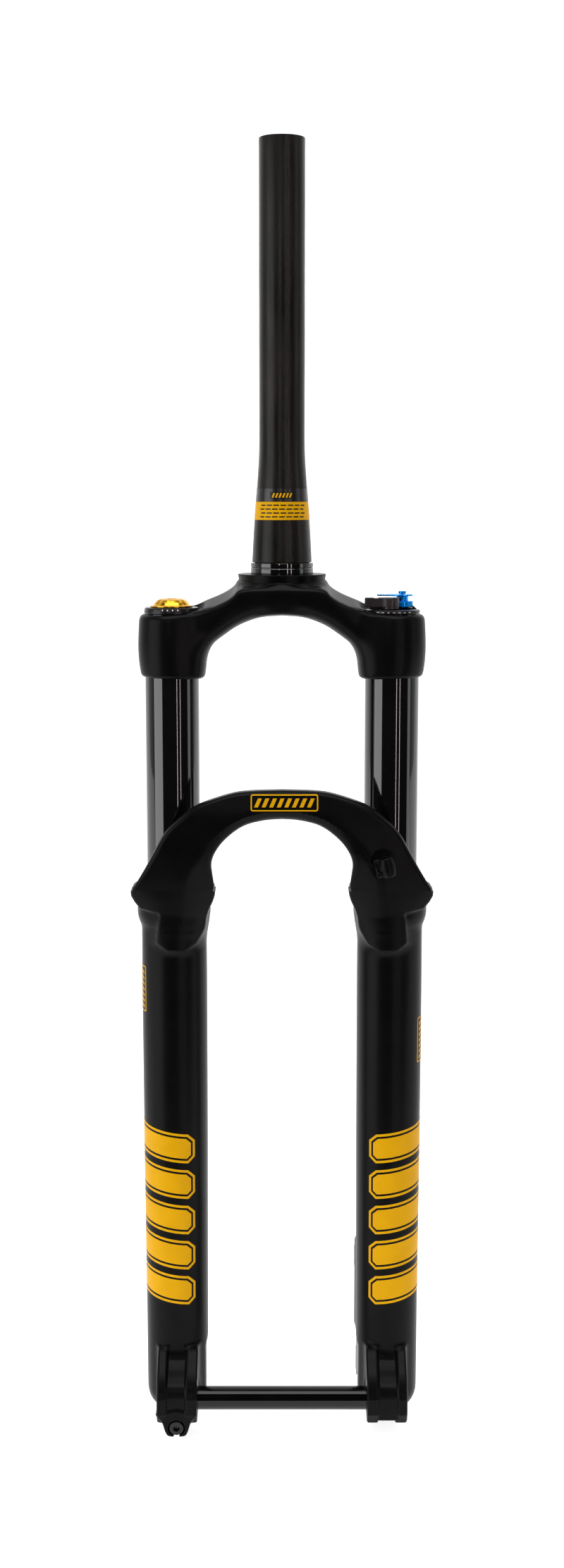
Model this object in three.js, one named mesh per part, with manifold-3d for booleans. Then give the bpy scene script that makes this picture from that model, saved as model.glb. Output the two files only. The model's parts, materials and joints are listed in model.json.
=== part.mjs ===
// Air-sprung suspension fork for a 29 inch mountain bicycle, made of its separate pieces.
// Millimetres. +Z runs up the steerer axis, the fork faces -Y, and the origin is the centre of
// the crown race seat. The air spring is in the -X leg and the damper is in the +X leg.
import * as THREE from 'three';
import { mergeVertices } from 'three/addons/utils/BufferGeometryUtils.js';
import Module from 'manifold-3d';

const wasm = await Module();
wasm.setup();

// ---------------------------------------------------------------- driving dimensions
const GAP = 0.3;                    // clearance between neighbouring pieces
const FACETS = 32;                  // facets around a large turned piece
const FEW_FACETS = 20;              // facets around a small turned piece
const INNER_FACETS = 24;            // facets around a ring inside a leg

const LEG = new THREE.Vector2(69.5, -13);       // a leg's axis, as distances from the steerer axis
const AXLE = new THREE.Vector2(-44, -535);      // Y and Z of the wheel axle
const AXLE_RADIUS = 7.5;
const HUB_HALF = 55;                // from the centre to a hub face, for a 110 mm hub
const AXLE_HALF = 80.5;

const STEERER_TOP = 266;
const STEERER_RADIUS = 14.3;
const STEERER_BORE = 12;
const SPIGOT_RADIUS = 17;           // the end of the steerer that is held in the crown
const SPIGOT_END = -24;
const RACE_SEAT_RADIUS = 19.9;
const RACE_SEAT_TOP = 7;
const RACE_SEAT_SUNK = 1;           // how deep the seat's ring is let into the crown's flange
const FLANGE_RADIUS = 28.2;

const SOCKET_TOP = -24.3;           // top of the crown around a stanchion
const SOCKET_END = -65;
const SPOT_FACE = { radius: 22, floor: -22.6 };     // cut into the shelf around a top cap
const STANCHION_RADIUS = 17;
const STANCHION_BORE = 15.2;
const STANCHION_END = -405;
const PLUG_RADIUS = STANCHION_BORE - GAP;

const COLLAR_TOP = -198;            // top of a lower leg
const LEG_BORE = 18.9;
const HUB_ROOM = 50.6;              // from the middle to the flat on a leg's inner side
const FLAT_TOP = -494;              // top of that flat
const LEG_FLOOR = -540;             // inside the foot of a lower leg
const LEG_END = -554.6;
const ARCH_BACK = -36.5;
const SOCKET_ROOM = 23.2;           // radius kept free above a leg for the crown's socket

const ROD_RADIUS = 5;               // air shaft and damper rod
const ROD_HOLE = ROD_RADIUS + GAP;
const STUD_RADIUS = 4;
const CARTRIDGE_RADIUS = 12.8;
const CARTRIDGE_BORE = 11.6;

const LUG_IN = HUB_HALF;            // a dropout lug's width, along X
const LUG_OUT = 81.5;
const LUG_BOTTOM = -548;
const PINCH = new THREE.Vector2(68.6, -550.5);   // X distance and Z of the pinch bolt's axis
const PINCH_BOTTOM = -556.5;

const POST_X = 55.5;                // brake posts, on the back of the damper leg
const POST_FACE = 22;
const POST_HEIGHTS = [-463, -537.2];

const LEVER_HUB = new THREE.Vector2(-1.7, -6.5);    // adjusters, from the damper leg's axis
const KNOB_HUB = new THREE.Vector2(6.3, 3.3);
const CAP_TOP = -21.8;              // top of the damper cap's flange

const GUIDE = new THREE.Vector3(64, -49.6, -180);   // hose guide on the damper side of the arch
const GUIDE_TILT = 0.26;

// ---------------------------------------------------------------- making solids
function solid(geometry) {
  geometry.deleteAttribute('normal');
  geometry.deleteAttribute('uv');
  const merged = mergeVertices(geometry, 1e-3);
  const corners = merged.index.array;
  const triVerts = [];
  for (let i = 0; i < corners.length; i += 3) {
    const [a, b, c] = corners.slice(i, i + 3);
    if (a !== b && b !== c && c !== a) triVerts.push(a, b, c);
  }
  return new wasm.Manifold(new wasm.Mesh({
    numProp: 3,
    vertProperties: merged.attributes.position.array,
    triVerts: new Uint32Array(triVerts),
  }));
}

// A profile of [radius, z] points turned about the Z axis. It goes up its outer side, and it
// starts and ends on the axis or is closed here.
function turned(profile, facets = FACETS) {
  const points = profile.map(([r, z]) => new THREE.Vector2(r, z));
  const first = points[0];
  if (first.x > 0) points.push(first.clone());
  return solid(new THREE.LatheGeometry(points, facets).rotateX(Math.PI / 2));
}

function rod(radius, low, high, facets = FEW_FACETS) {
  return turned([[0, low], [radius, low], [radius, high], [0, high]], facets);
}

function ring(inner, outer, low, high, facets = FACETS) {
  return turned([[inner, low], [outer, low], [outer, high], [inner, high]], facets);
}

function extruded(outline, depth) {
  const shape = new THREE.Shape(outline.map(([u, v]) => new THREE.Vector2(u, v)));
  return new THREE.ExtrudeGeometry(shape, { depth, bevelEnabled: false });
}

// An outline of [x, z] points, with a thickness along Y.
function frontOutline(outline, front, back) {
  return solid(extruded(outline, back - front).rotateX(Math.PI / 2).translate(0, back, 0));
}

// An outline of [y, z] points, with a thickness along X.
function sideOutline(outline, low, high) {
  const shape = extruded(outline, high - low).rotateX(Math.PI / 2).rotateZ(Math.PI / 2);
  return solid(shape.translate(low, 0, 0));
}

// An outline of [x, y] points, with a thickness along Z.
function planOutline(outline, low, high) {
  return solid(extruded(outline, high - low).translate(0, 0, low));
}

function block(x, y, z) {
  const box = new THREE.BoxGeometry(x[1] - x[0], y[1] - y[0], z[1] - z[0]);
  return solid(box.translate((x[0] + x[1]) / 2, (y[0] + y[1]) / 2, (z[0] + z[1]) / 2));
}

function rodAlongX(radius, low, high, y, z, facets = FEW_FACETS) {
  return rod(radius, low, high, facets).rotate([0, 90, 0]).translate([0, y, z]);
}

function rodAlongY(radius, front, back, x, z, facets = FEW_FACETS) {
  return rod(radius, -back, -front, facets).rotate([90, 0, 0]).translate([x, 0, z]);
}

function smooth(points, steps) {
  const curve = new THREE.SplineCurve(points.map(([u, v]) => new THREE.Vector2(u, v)));
  return curve.getPoints(steps).map((point) => [point.x, point.y]);
}

// Half an outline, from X = 0 round to X = 0 again, and its mirror image.
function mirrored(half) {
  const other = half.slice(1, -1).reverse().map(([x, v]) => [-x, v]);
  return [...half, ...other];
}

function sum(solids) {
  return solids.reduce((whole, next) => whole.add(next));
}

// ---------------------------------------------------------------- finding its place
const fork = new THREE.Group();
const airLeg = new THREE.Group();
airLeg.position.set(-LEG.x, LEG.y, 0);
const damperLeg = new THREE.Group();
damperLeg.position.set(LEG.x, LEG.y, 0);
fork.add(airLeg, damperLeg);

function add(parent, name, shape, [color, roughness, metalness]) {
  const { numProp, vertProperties, triVerts } = shape.getMesh();
  const geometry = new THREE.BufferGeometry();
  geometry.setAttribute('position', new THREE.BufferAttribute(vertProperties, numProp));
  geometry.setIndex(new THREE.BufferAttribute(triVerts, 1));
  const mesh = new THREE.Mesh(
    geometry,
    new THREE.MeshStandardMaterial({ color, roughness, metalness, flatShading: true }),
  );
  mesh.name = name;
  parent.add(mesh);
}

const CARBON = [0x1d1a18, 0.35, 0.1];
const SATIN_BLACK = [0x0f0f10, 0.45, 0.3];
const GLOSS_BLACK = [0x050506, 0.12, 0.8];
const GOLD = [0xd79a16, 0.25, 1.0];
const BLUE = [0x1456b8, 0.3, 1.0];
const BARE_ALUMINIUM = [0xb5b7ba, 0.35, 1.0];
const STEEL = [0x8c8f94, 0.3, 1.0];
const RUBBER = [0x121212, 0.8, 0.0];
const FOAM = [0x33302c, 0.95, 0.0];
const PLASTIC = [0x101012, 0.4, 0.0];
const BUSH = [0x6d6458, 0.6, 0.2];

// ---------------------------------------------------------------- steerer and crown
function steererTube() {
  const taper = smooth([[18.9, 7.3], [17.45, 33], [15.8, 55], [14.6, 72], [STEERER_RADIUS, 84]], 8);
  return turned([
    [STEERER_BORE, SPIGOT_END],
    [SPIGOT_RADIUS, SPIGOT_END],
    [SPIGOT_RADIUS, taper[0][1]],
    ...taper,
    [STEERER_RADIUS, STEERER_TOP - 0.6],
    [STEERER_RADIUS - 0.6, STEERER_TOP],
    [STEERER_BORE, STEERER_TOP],
  ]);
}

function crownRaceSeat() {
  return turned([
    [SPIGOT_RADIUS + GAP, GAP - RACE_SEAT_SUNK],
    [RACE_SEAT_RADIUS, GAP - RACE_SEAT_SUNK],
    [RACE_SEAT_RADIUS, RACE_SEAT_TOP - 0.5],
    [RACE_SEAT_RADIUS - 0.5, RACE_SEAT_TOP],
    [SPIGOT_RADIUS + GAP, RACE_SEAT_TOP],
  ]);
}

function crownSocket() {
  const wall = smooth([[19.4, -63.6], [20.6, -56], [21.2, -46], [20.9, -36], [20.3, -28]], 5);
  return turned([
    [0, SOCKET_END],
    [18.2, SOCKET_END],
    ...wall,
    [19.6, -25.4],
    [18.2, SOCKET_TOP],
    [0, SOCKET_TOP],
  ]);
}

// A shelf that falls from the steerer to the two sockets, arched underneath, with the flange
// that the lower headset bearing's race rests on.
function crown() {
  const top = smooth([[27, -4.5], [31, -8.6], [40.6, -14], [58, -22], [LEG.x, SOCKET_TOP]], 8);
  const under = smooth(
    [[50.9, -62], [50.4, -54], [44.6, -44.3], [32, -34.6], [16, -27.2], [0, -25]],
    12,
  );
  const front = frontOutline(mirrored([[0, -4.5], ...top, [LEG.x, -62], ...under]), -40, 30);
  const edge = [
    ...smooth([[0, -31], [30, -31], [52, -32.6], [LEG.x, -33.6]], 5),
    ...smooth([[LEG.x, 7.6], [50, 10], [32, 19.5], [18, 25.5], [0, 28]], 8),
  ];
  const plan = planOutline(mirrored(edge), -66, 0);
  const boss = turned([
    [0, -24.5],
    [26.4, -24.5],
    [26.4, -4.6],
    [FLANGE_RADIUS - 1.1, -4.6],
    [FLANGE_RADIUS, -0.6],
    [FLANGE_RADIUS, 0],
    [0, 0],
  ]);
  const sockets = [-LEG.x, LEG.x].map((x) => crownSocket().translate([x, LEG.y, 0]));
  const bores = [-LEG.x, LEG.x].map((x) => (
    rod(STANCHION_RADIUS + GAP, -70, -20, FACETS).translate([x, LEG.y, 0])
  ));
  bores.push(rod(SPIGOT_RADIUS + GAP, -40, 5, FACETS));
  bores.push(rod(RACE_SEAT_RADIUS + GAP, -RACE_SEAT_SUNK, 5, FACETS));
  const spotFaces = [-LEG.x, LEG.x].map((x) => (
    rod(SPOT_FACE.radius, SPOT_FACE.floor, 0, FACETS).translate([x, LEG.y, 0])
  ));
  const shelf = front.intersect(plan).subtract(sum(spotFaces));
  return shelf.add(boss).add(sum(sockets)).subtract(sum(bores));
}

add(fork, 'steerer_tube', steererTube(), CARBON);
add(fork, 'crown_race_seat', crownRaceSeat(), GLOSS_BLACK);
add(fork, 'crown', crown(), SATIN_BLACK);

// ---------------------------------------------------------------- stanchions
function stanchion() {
  return ring(STANCHION_BORE, STANCHION_RADIUS, STANCHION_END, SOCKET_TOP);
}

add(airLeg, 'stanchion_air', stanchion(), GLOSS_BLACK);
add(damperLeg, 'stanchion_damper', stanchion(), GLOSS_BLACK);

// ---------------------------------------------------------------- air spring
const VALVE_RADIUS = 2.6;
const AIR_CAP_TOP = -20.4;
const AIR_PLUG_END = -42;

function airTopCap() {
  return turned([
    [VALVE_RADIUS + GAP, AIR_PLUG_END],
    [PLUG_RADIUS, AIR_PLUG_END],
    [PLUG_RADIUS, SOCKET_TOP + GAP],
    [17.3, SOCKET_TOP + GAP],
    [17.3, -22.2],
    [16.6, AIR_CAP_TOP],
    [VALVE_RADIUS + GAP, AIR_CAP_TOP],
  ]);
}

function airValveCap() {
  const dome = smooth([[11.6, -18.9], [10.6, -17], [8.6, -15.4], [6, -14.8]], 5);
  return turned([
    [0, -17.1],
    [4, -17.1],
    [4, AIR_CAP_TOP + GAP],
    [13.5, AIR_CAP_TOP + GAP],
    [13.5, -19.2],
    ...dome,
    [0, -14.8],
  ]);
}

const AIR_PISTON_TOP = -352;

add(airLeg, 'air_top_cap', airTopCap(), SATIN_BLACK);
add(airLeg, 'air_valve', rod(VALVE_RADIUS, -40, -17.5), BARE_ALUMINIUM);
add(airLeg, 'air_valve_cap', airValveCap(), GOLD);
add(airLeg, 'volume_spacer', ring(6, 14.6, -72, AIR_PLUG_END - GAP, FEW_FACETS), PLASTIC);
add(airLeg, 'air_seal_head', ring(ROD_HOLE, PLUG_RADIUS, -404, -386, INNER_FACETS), BARE_ALUMINIUM);

function airShaft() {
  const body = rod(ROD_RADIUS, LEG_FLOOR + GAP, AIR_PISTON_TOP + 1);
  return body.add(rod(STUD_RADIUS, -560, LEG_FLOOR + 1));
}

function footNut() {
  return rod(7.5, -559.5, LEG_END - GAP, 6).subtract(rod(STUD_RADIUS + GAP, -570, -550));
}

add(airLeg, 'air_shaft', airShaft(), STEEL);
add(
  airLeg,
  'air_piston',
  ring(ROD_HOLE, PLUG_RADIUS, AIR_PISTON_TOP - 14, AIR_PISTON_TOP, INNER_FACETS),
  PLASTIC,
);
add(airLeg, 'top_out_bumper', ring(ROD_HOLE, 9, -385.4, AIR_PISTON_TOP - 14.6, FEW_FACETS), RUBBER);
add(airLeg, 'foot_nut', footNut(), STEEL);

// ---------------------------------------------------------------- damper
const LEVER_TOP = -13.9;
const KNOB_TOP = -16.6;
const PLATE = [-13.5, -12.4];
const STEM_RADIUS = 2.4;

function damperTopCap() {
  const cap = turned([
    [0, -44],
    [PLUG_RADIUS, -44],
    [PLUG_RADIUS, SOCKET_TOP + GAP],
    [17.3, SOCKET_TOP + GAP],
    [17.3, CAP_TOP],
    [15.8, CAP_TOP],
    [13, -19.3],
    [0, -19.3],
  ]);
  const leverFloor = block([-18, 18], [-18, -0.6], [CAP_TOP + GAP, -15]);
  const knobPocket = rod(7.1, -20.7, -15).translate([KNOB_HUB.x, KNOB_HUB.y, 0]);
  const stemHoles = [LEVER_HUB, KNOB_HUB].map((hub) => (
    rod(STEM_RADIUS + GAP, -29, -15).translate([hub.x, hub.y, 0])
  ));
  return cap.subtract(leverFloor).subtract(knobPocket).subtract(sum(stemHoles));
}

function climbLever() {
  const hub = rod(5.5, CAP_TOP + 2 * GAP, LEVER_TOP, FACETS);
  const arm = planOutline([[0, -4.6], [0, 4.2], [-15.4, 3.4], [-16.2, 2.6], [-16.2, -3.4], [-15.2, -4.2]],
    -20.2, LEVER_TOP);
  const stem = rod(STEM_RADIUS, -28, LEVER_TOP - 1);
  return sum([hub, arm, stem]).translate([LEVER_HUB.x, LEVER_HUB.y, 0]);
}

function lowSpeedKnob() {
  const knob = turned([
    [STEM_RADIUS + GAP, -20.4],
    [6.8, -20.4],
    [6.8, KNOB_TOP],
    [3.8, KNOB_TOP],
    [3.8, PLATE[0] - GAP],
    [STEM_RADIUS + GAP, PLATE[0] - GAP],
  ]);
  return knob.translate([KNOB_HUB.x, KNOB_HUB.y, 0]);
}

function highSpeedLever() {
  const plate = rod(6.8, PLATE[0], PLATE[1]);
  const arm = planOutline([[0, -5], [0, 5], [-15.8, 2.4], [-15.8, -2.4]], PLATE[0], PLATE[1]);
  const stem = rod(STEM_RADIUS, -28, PLATE[1]);
  const screwHole = rod(1.2 + GAP, -20, -10);
  return sum([plate, arm, stem]).subtract(screwHole).translate([KNOB_HUB.x, KNOB_HUB.y, 0]);
}

function leverScrew() {
  const head = rod(2.45, PLATE[1] + GAP, -10.4);
  return head.add(rod(1.2, -19, -11)).translate([KNOB_HUB.x, KNOB_HUB.y, 0]);
}

function cartridgeSealHead() {
  return turned([
    [ROD_HOLE, -404],
    [PLUG_RADIUS, -404],
    [PLUG_RADIUS, -392.3],
    [CARTRIDGE_BORE - GAP, -392.3],
    [CARTRIDGE_BORE - GAP, -384],
    [ROD_HOLE, -384],
  ], INNER_FACETS);
}

const NEEDLE_RADIUS = 1.4;
const DAMPER_PISTON_TOP = -350;

function damperRod() {
  const bore = NEEDLE_RADIUS + 2 * GAP;
  return turned([
    [STUD_RADIUS, LEG_FLOOR + GAP],
    [ROD_RADIUS, LEG_FLOOR + GAP],
    [ROD_RADIUS, DAMPER_PISTON_TOP + 1],
    [bore, DAMPER_PISTON_TOP + 1],
    [bore, -520],
    [STUD_RADIUS, -520],
  ], FEW_FACETS);
}

function footBolt() {
  return turned([
    [NEEDLE_RADIUS + GAP, -557.9],
    [8, -557.9],
    [8, LEG_END - GAP],
    [STUD_RADIUS - GAP, LEG_END - GAP],
    [STUD_RADIUS - GAP, -522],
    [NEEDLE_RADIUS + GAP, -522],
  ], FEW_FACETS);
}

function reboundKnob() {
  return rod(8, -562.4, -558.2).add(rod(NEEDLE_RADIUS, -559, -500));
}

add(damperLeg, 'damper_top_cap', damperTopCap(), SATIN_BLACK);
add(damperLeg, 'climb_lever', climbLever(), GLOSS_BLACK);
add(damperLeg, 'low_speed_knob', lowSpeedKnob(), BLUE);
add(damperLeg, 'high_speed_lever', highSpeedLever(), BLUE);
add(damperLeg, 'lever_screw', leverScrew(), BLUE);
add(
  damperLeg,
  'damper_cartridge',
  ring(CARTRIDGE_BORE, CARTRIDGE_RADIUS, -392, -46, INNER_FACETS),
  BARE_ALUMINIUM,
);
add(
  damperLeg,
  'compression_valve',
  ring(2.5, CARTRIDGE_BORE - 0.5, -75, -48, FEW_FACETS),
  BARE_ALUMINIUM,
);
add(damperLeg, 'cartridge_seal_head', cartridgeSealHead(), BARE_ALUMINIUM);
add(damperLeg, 'damper_rod', damperRod(), STEEL);
add(
  damperLeg,
  'damper_piston',
  ring(ROD_HOLE, CARTRIDGE_BORE - 0.5, DAMPER_PISTON_TOP - 12, DAMPER_PISTON_TOP, INNER_FACETS),
  BARE_ALUMINIUM,
);
add(damperLeg, 'foot_bolt', footBolt(), STEEL);
add(damperLeg, 'rebound_knob', reboundKnob(), BLUE);

// ---------------------------------------------------------------- seals and bushes in each leg
const SEAL_POCKET = { radius: 22.8, floor: -209 };
const FOAM_POCKET = { radius: 20.8, floor: -217 };

function wiperSeal() {
  return turned([
    [STANCHION_RADIUS + GAP, SEAL_POCKET.floor + GAP],
    [SEAL_POCKET.radius - GAP, SEAL_POCKET.floor + GAP],
    [SEAL_POCKET.radius - GAP, COLLAR_TOP],
    [19.2, COLLAR_TOP],
    [18.2, -196.3],
    [STANCHION_RADIUS + GAP, -196.3],
  ]);
}

function garterSpring() {
  return solid(new THREE.TorusGeometry(20.1, 0.5, 5, INNER_FACETS).translate(0, 0, COLLAR_TOP + 0.9));
}

for (const [side, leg] of [['air', airLeg], ['damper', damperLeg]]) {
  const inner = STANCHION_RADIUS + GAP;
  add(leg, `wiper_seal_${side}`, wiperSeal(), RUBBER);
  add(leg, `garter_spring_${side}`, garterSpring(), STEEL);
  add(leg, `foam_ring_${side}`, ring(inner, FOAM_POCKET.radius - GAP, -216.6, -209.3, INNER_FACETS), FOAM);
  add(leg, `upper_bush_${side}`, ring(inner, LEG_BORE - GAP, -245, -222, INNER_FACETS), BUSH);
  add(leg, `lower_bush_${side}`, ring(inner, LEG_BORE - GAP, -375, -350, INNER_FACETS), BUSH);
}

// ---------------------------------------------------------------- lower casting
function legOutside() {
  const tube = [[20.2, -536], [20.3, -483], [20.9, -360], [21, -230]];
  const foot = smooth([[11, LEG_END], [15.5, -551.6], [19, -545.5], [20.2, -536]], 6);
  const collar = smooth([[21, -224.5], [23.4, -219], [23.5, -211], [25.2, -206], [26.7, -200]], 8);
  return turned([[0, LEG_END], ...foot, ...tube.slice(1), ...collar, [26.2, COLLAR_TOP], [0, COLLAR_TOP]]);
}

// What is hollow in a leg: the bore, the two seal pockets, and room above them for the crown's
// socket when the fork is fully compressed.
function legInside() {
  return turned([
    [0, LEG_FLOOR],
    [LEG_BORE, LEG_FLOOR],
    [LEG_BORE, FOAM_POCKET.floor],
    [FOAM_POCKET.radius, FOAM_POCKET.floor],
    [FOAM_POCKET.radius, SEAL_POCKET.floor],
    [SEAL_POCKET.radius, SEAL_POCKET.floor],
    [SEAL_POCKET.radius, COLLAR_TOP],
    [SOCKET_ROOM, COLLAR_TOP],
    [SOCKET_ROOM, -110],
    [0, -110],
  ]);
}

// The arch passes in front of the stanchions and runs down the fronts of both legs.
function arch() {
  const outer = smooth(
    [[0, -132.4], [20, -133], [45, -138.4], [66, -152], [84, -179], [96, COLLAR_TOP]],
    12,
  );
  const inner = smooth(
    [[52, -236], [46, -209], [42, -197], [44.2, -182], [37, -165], [22, -154.6], [0, -151]],
    14,
  );
  const front = mirrored([...outer, [92, -214], [86, -236], [76, -262], [60, -262], ...inner]);
  const nose = smooth(
    [[-31.5, -262], [-37, -240], [-44.5, -215], [-48.6, -190], [-49.3, -172], [-48, -150], [-45.5, -131]],
    8,
  );
  const side = [...nose, [ARCH_BACK, -131], [ARCH_BACK, COLLAR_TOP], [-22, COLLAR_TOP], [-22, -262]];
  return frontOutline(front, -60, -10).intersect(sideOutline(side, -110, 110));
}

// One dropout lug, seen from the side: it grows out of the leg's front and ends in the boss
// around the axle.
function lug() {
  const brow = smooth([[-30, -494], [-33.6, -503], [-41, -513], [-50, -519], [-54.5, -526]], 6);
  return sideOutline([
    [-18, -494],
    ...brow,
    [-57, -529.5],
    [-57, -541],
    [-52.5, LUG_BOTTOM],
    [-24, LUG_BOTTOM],
    [-18, -552],
  ], LUG_IN, LUG_OUT);
}

// The hollow between the lug's two ribs.
function lugRecess(bottom) {
  const floor = smooth([[-28, -492], [-31, -505], [-38, -516], [-47, -522], [-51, -529]], 6);
  return sideOutline([...floor, [-51, bottom], [-20, bottom], [-20, -562], [-62, -562], [-62, -492]], 63, 75);
}

function pinchBoss() {
  const half = smooth([[11, -543], [8.4, -547.5], [6.4, -553.5], [3.4, PINCH_BOTTOM]], 8);
  const outline = mirrored([[0, -543], ...half, [0, PINCH_BOTTOM]]);
  return frontOutline(outline, -56, -33).translate([PINCH.x, 0, 0]);
}

function pinchCuts() {
  const [x, z] = PINCH.toArray();
  return sum([
    rodAlongY(5.6, -60, -51.5, x, z),
    rodAlongY(2.5 + GAP, -60, -33.8, x, z),
    block([x - 1.7, x + 1.7], [-60, -51.5], [-562, z]),
    block([LUG_IN - 2, LUG_OUT + 2], [AXLE.x - 0.8, AXLE.x + 0.8], [-562, AXLE.y]),
  ]);
}

function brakeMount() {
  const [upper, lower] = POST_HEIGHTS;
  const arm = 7.6;
  return sideOutline([
    [-8, upper + 16],
    [POST_FACE - 10, upper + arm],
    [POST_FACE, upper + arm],
    [POST_FACE, upper - arm],
    [POST_FACE - 8, upper - arm - 2],
    ...smooth([[13, -480], [9.5, -500], [13, -520]], 6),
    [POST_FACE - 8, lower + arm + 2],
    [POST_FACE, lower + arm],
    [POST_FACE, lower - arm],
    [POST_FACE - 12, lower - arm - 2],
    [-8, lower - arm],
  ], POST_X - 6.3, POST_X + 6.3);
}

function guideRecess() {
  return guidePlaced(block([-6.5, 6.5], [-10, 2.6], [-9, 9]));
}

function lowerLeg(isDamper) {
  const tube = legOutside().translate([LEG.x, LEG.y, 0]);
  const ribs = lug().subtract(lugRecess(isDamper ? -546.4 : -543));
  let leg = tube.add(ribs);
  if (isDamper) {
    const threads = POST_HEIGHTS.map((z) => rodAlongY(3, POST_FACE - 12, POST_FACE + 1, POST_X, z));
    leg = leg.add(brakeMount()).subtract(sum(threads));
  } else {
    leg = leg.add(pinchBoss()).subtract(pinchCuts());
  }
  const hubRoom = block([30, HUB_ROOM], [-70, 12], [-570, FLAT_TOP]);
  const capRoom = rodAlongX(16, 30, HUB_HALF, AXLE.x, AXLE.y, FACETS);
  leg = leg.subtract(hubRoom).subtract(capRoom);
  return isDamper ? leg : leg.mirror([1, 0, 0]);
}

function lowerCasting() {
  const axleBore = rodAlongX(AXLE_RADIUS + GAP, -100, 100, AXLE.x, AXLE.y, FACETS);
  // The bores stop 1 mm short of the flats, so the legs stay closed there.
  const flatWalls = block([-HUB_ROOM - 1, HUB_ROOM + 1], [-70, 30], [-570, FLAT_TOP + 6]);
  const insides = [-LEG.x, LEG.x].map((x) => (
    legInside().translate([x, LEG.y, 0]).subtract(flatWalls)
  ));
  const footHoles = [-LEG.x, LEG.x].map((x) => (
    rod(STUD_RADIUS + GAP, -570, LEG_FLOOR + 5).translate([x, LEG.y, 0])
  ));
  return sum([lowerLeg(false), lowerLeg(true), arch()])
    .subtract(sum([...insides, ...footHoles]))
    .subtract(axleBore)
    .subtract(guideRecess());
}

add(fork, 'lower_casting', lowerCasting(), SATIN_BLACK);

// ---------------------------------------------------------------- axle and its pinch bolt
function axle() {
  return turned([
    [4.6, -AXLE_HALF],
    [AXLE_RADIUS - 0.8, -AXLE_HALF],
    [AXLE_RADIUS, -AXLE_HALF + 0.8],
    [AXLE_RADIUS, AXLE_HALF - 0.8],
    [AXLE_RADIUS - 0.8, AXLE_HALF],
    [4.6, AXLE_HALF],
  ], FACETS).rotate([0, 90, 0]).translate([0, AXLE.x, AXLE.y]);
}

function pinchBolt() {
  const [x, z] = [-PINCH.x, PINCH.y];
  const head = rodAlongY(4.6, -56, -51.8, x, z);
  const shank = rodAlongY(2.5, -52, -35.5, x, z);
  const socket = rodAlongY(2.4, -57, -53.6, x, z, 6);
  return head.add(shank).subtract(socket);
}

add(fork, 'axle', axle(), GLOSS_BLACK);
add(fork, 'pinch_bolt', pinchBolt(), STEEL);

// ---------------------------------------------------------------- brake hose guide
const HOSE_RADIUS = 2.7;

function guidePlaced(shape) {
  return shape.rotate([0, THREE.MathUtils.radToDeg(-GUIDE_TILT), 0]).translate(GUIDE.toArray());
}

function hoseGuide() {
  const tunnel = rod(4.2, -6.5, 6.5).translate([1.9, -2, 0]);
  const foot = block([-6.2, 5.8], [-1.2, 2.2], [-6.5, 6.5]);
  const hose = rod(HOSE_RADIUS, -10, 10).translate([1.9, -2, 0]);
  const screwHole = rodAlongY(1 + GAP, -10, 10, -4.5, -3.6, 12);
  return guidePlaced(tunnel.add(foot).subtract(hose).subtract(screwHole));
}

function hoseGuideScrew() {
  return guidePlaced(rodAlongY(1.7, -2.9, -1.5, -4.5, -3.6, 12).add(rodAlongY(1, -1.6, 1.8, -4.5, -3.6, 12)));
}

add(fork, 'hose_guide', hoseGuide(), PLASTIC);
add(fork, 'hose_guide_screw', hoseGuideScrew(), STEEL);

export default fork;
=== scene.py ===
"""Looks of the suspension fork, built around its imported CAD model.

Shapes are worked out in millimetres and stored in metres. The crown, the lower casting and
the small machined pieces are distance fields turned into meshes. The tubes, rings and seals
are turned profiles, and the printed marks are thin films laid on those surfaces.
"""
import json
import math

import bmesh
import bpy
import numpy as np
import openvdb as vdb
from mathutils import Euler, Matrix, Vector


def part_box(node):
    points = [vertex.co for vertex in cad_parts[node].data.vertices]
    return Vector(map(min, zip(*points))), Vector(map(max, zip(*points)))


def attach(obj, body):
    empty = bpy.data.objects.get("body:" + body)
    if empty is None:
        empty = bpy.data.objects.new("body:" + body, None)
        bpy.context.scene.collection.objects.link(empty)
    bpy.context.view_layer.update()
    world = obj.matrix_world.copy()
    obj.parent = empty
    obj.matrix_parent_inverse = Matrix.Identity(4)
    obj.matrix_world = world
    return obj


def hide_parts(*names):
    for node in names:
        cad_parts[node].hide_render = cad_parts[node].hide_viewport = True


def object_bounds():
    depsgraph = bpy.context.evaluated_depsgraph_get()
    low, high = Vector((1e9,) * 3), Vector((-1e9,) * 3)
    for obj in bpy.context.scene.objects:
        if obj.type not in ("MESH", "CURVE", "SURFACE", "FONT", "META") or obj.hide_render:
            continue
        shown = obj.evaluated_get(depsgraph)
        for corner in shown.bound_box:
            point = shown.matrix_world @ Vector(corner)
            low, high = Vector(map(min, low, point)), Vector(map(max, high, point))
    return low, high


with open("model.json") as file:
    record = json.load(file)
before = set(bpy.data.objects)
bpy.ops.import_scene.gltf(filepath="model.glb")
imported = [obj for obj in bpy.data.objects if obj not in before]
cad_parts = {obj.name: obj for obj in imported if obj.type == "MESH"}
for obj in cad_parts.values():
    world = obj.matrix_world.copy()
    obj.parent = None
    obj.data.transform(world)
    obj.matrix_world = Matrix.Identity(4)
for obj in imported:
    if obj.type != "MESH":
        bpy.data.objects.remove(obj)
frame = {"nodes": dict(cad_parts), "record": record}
cad_low, cad_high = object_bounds()

MM = 0.001

# ------------------------------------------------------------------ sizes, in millimetres


def span(node):
    low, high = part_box(node)
    return np.array(low) / MM, np.array(high) / MM


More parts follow.
